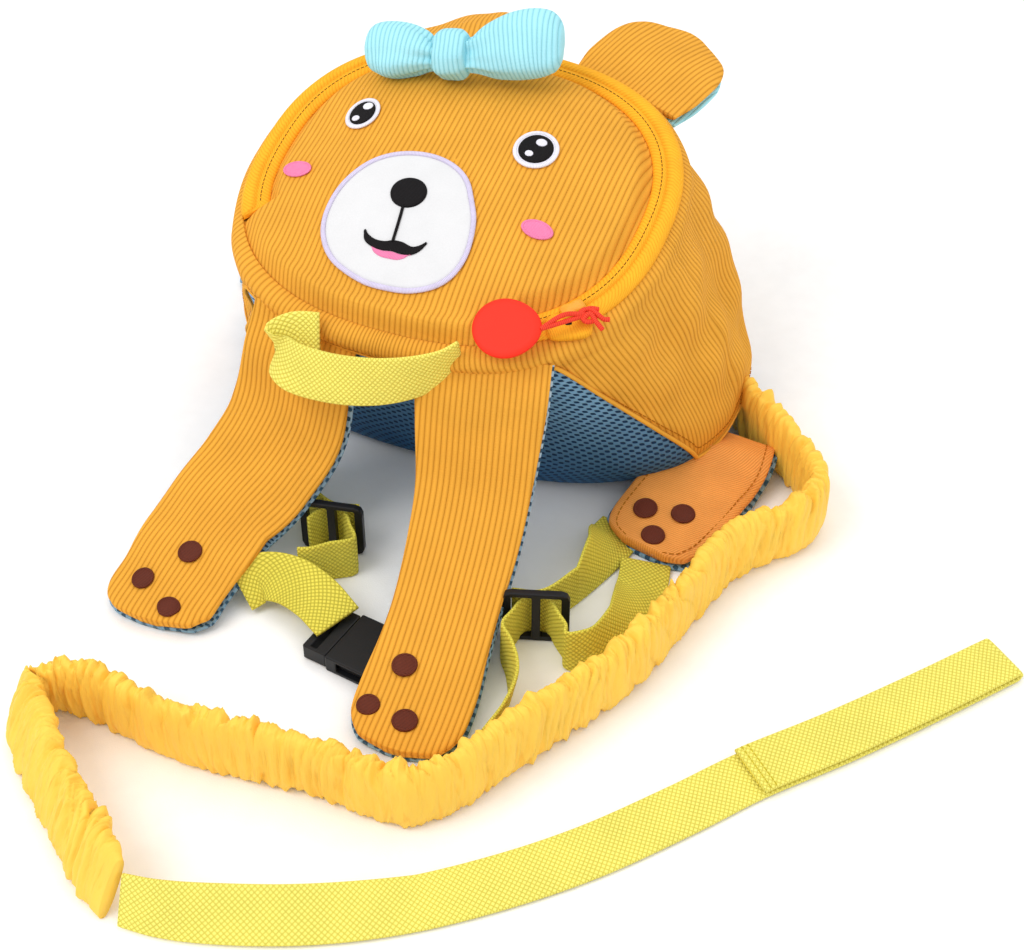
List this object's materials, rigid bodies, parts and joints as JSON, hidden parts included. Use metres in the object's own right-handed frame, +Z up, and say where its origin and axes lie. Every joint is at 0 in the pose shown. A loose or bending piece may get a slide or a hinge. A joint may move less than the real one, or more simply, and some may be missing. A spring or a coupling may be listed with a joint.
{
  "type": "toddler harness backpack",
  "caption": "Hollow bear-faced toddler backpack lying on its back, with padded arm straps, hip tabs, webbing, adjusters, a fastened chest buckle and a gathered leash.",
  "frame": {"origin": "on the floor, at the middle of the bag's flat resting face", "axes": "+Z up, +X to the bear's left, +Y from the bear's chin to its ears"},
  "size_m": [0.4889, 0.5254, 0.2116],
  "materials": {
    "corduroy": "mustard rib-knit corduroy, matt",
    "satin_rib": "orange ribbed satin cloth",
    "zip_tape": "woven zip tape over a coil zip",
    "zip_metal": "painted slider",
    "blue_mesh": "spacer mesh with oval holes",
    "aqua_rib": "aqua rib jersey",
    "white_felt": "white felt with a stitched edge",
    "dark_thread": "satin-stitched thread",
    "pink_thread": "satin-stitched thread",
    "brown_thread": "satin-stitched thread",
    "yellow_webbing": "woven polyester webbing",
    "black_plastic": "moulded, satin",
    "red_plastic": "soft moulded rubber-like plastic",
    "sleeve_cloth": "gathered satin cloth over elastic"
  },
  "bodies": {
    "root": {"gusset": "corduroy", "back_panel": "blue_mesh", "face_panel": "corduroy", "zip_tape": "zip_tape", "muzzle_patch": "white_felt", "nose": "dark_thread", "eye_right": "dark_thread", "cheek_right": "pink_thread", "eye_left": "dark_thread", "cheek_left": "pink_thread", "ear_left": "corduroy", "ear_lining_left": "aqua_rib", "ear_right": "corduroy", "ear_lining_right": "aqua_rib", "bow_loop_right": "aqua_rib", "bow_loop_left": "aqua_rib", "bow_knot": "aqua_rib", "arm_left": "corduroy", "arm_left_lining": "blue_mesh", "pad_arm_left_1": "brown_thread", "pad_arm_left_2": "brown_thread", "pad_arm_left_3": "brown_thread", "arm_right": "corduroy", "arm_right_lining": "blue_mesh", "pad_arm_right_1": "brown_thread", "pad_arm_right_2": "brown_thread", "pad_arm_right_3": "brown_thread", "leg_left": "satin_rib", "leg_left_lining": "blue_mesh", "pad_leg_left_1": "brown_thread", "pad_leg_left_2": "brown_thread", "pad_leg_left_3": "brown_thread", "leg_right": "satin_rib", "leg_right_lining": "blue_mesh", "pad_leg_right_1": "brown_thread", "pad_leg_right_2": "brown_thread", "pad_leg_right_3": "brown_thread", "handle": "yellow_webbing", "adjuster_left": "black_plastic", "adjuster_right": "black_plastic", "strap_long_left": "yellow_webbing", "strap_short_left": "yellow_webbing", "strap_long_right": "yellow_webbing", "strap_short_right": "yellow_webbing", "chest_strap": "yellow_webbing", "buckle_plug": "black_plastic", "buckle_socket": "black_plastic", "leash_sleeve": "sleeve_cloth", "leash_webbing": "yellow_webbing", "zip_slider": "zip_metal", "pull_tag": "red_plastic", "pull_cord": "red_plastic"}
  },
  "joints": []
}
